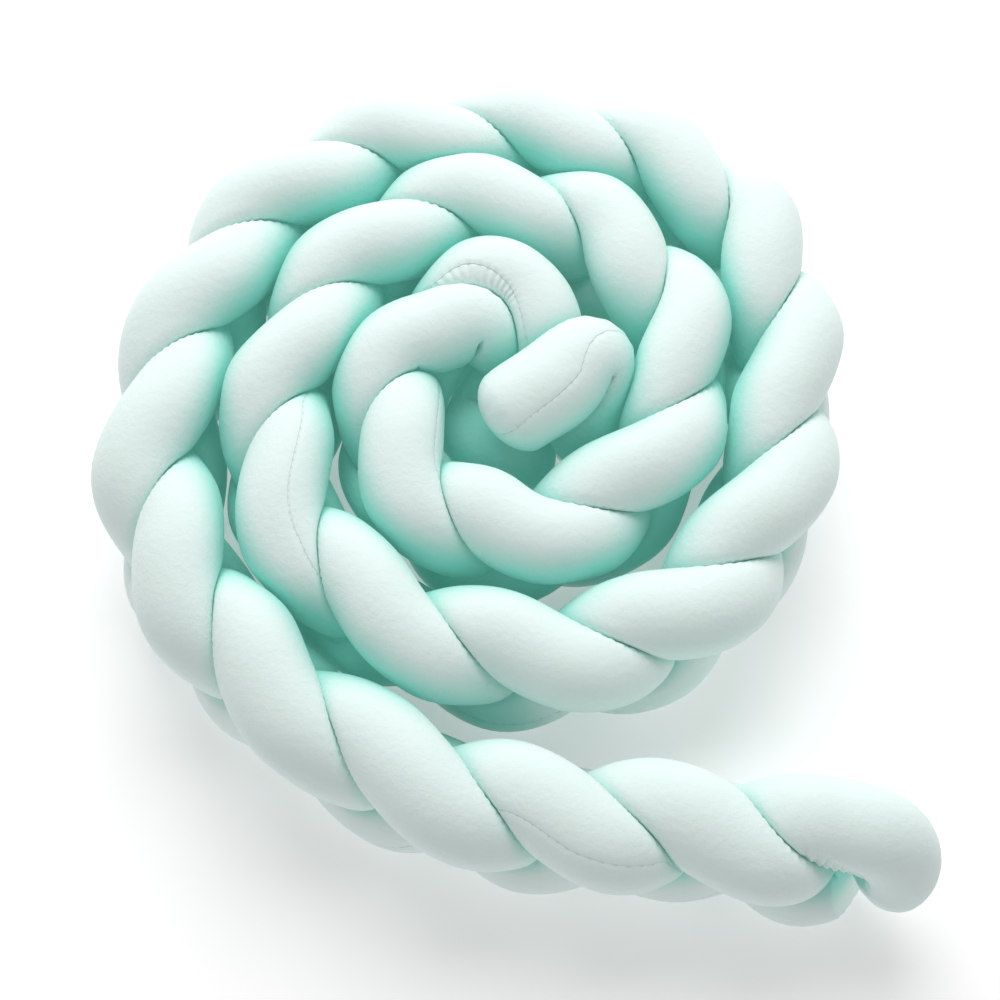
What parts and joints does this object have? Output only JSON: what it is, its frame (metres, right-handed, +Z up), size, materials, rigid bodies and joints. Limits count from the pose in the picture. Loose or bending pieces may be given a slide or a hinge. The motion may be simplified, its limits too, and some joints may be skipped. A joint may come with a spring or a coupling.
{
  "type": "braided long pillow",
  "caption": "Long soft pillow plaited from stuffed plush tubes, stood on edge and coiled up on the floor, for lining a cot or edging a bed.",
  "frame": {"origin": "middle of the coil's outline on the surface it lies on", "axes": "+Z up, +X towards the free end of the plait, +Y away from the stretch that the free end lies on"},
  "size_m": [0.7634, 0.7857, 0.1682],
  "materials": {
    "plush": "soft short pile"
  },
  "bodies": {
    "root": {"tube_a": "plush", "tube_b": "plush", "tube_c": "plush"}
  },
  "joints": []
}
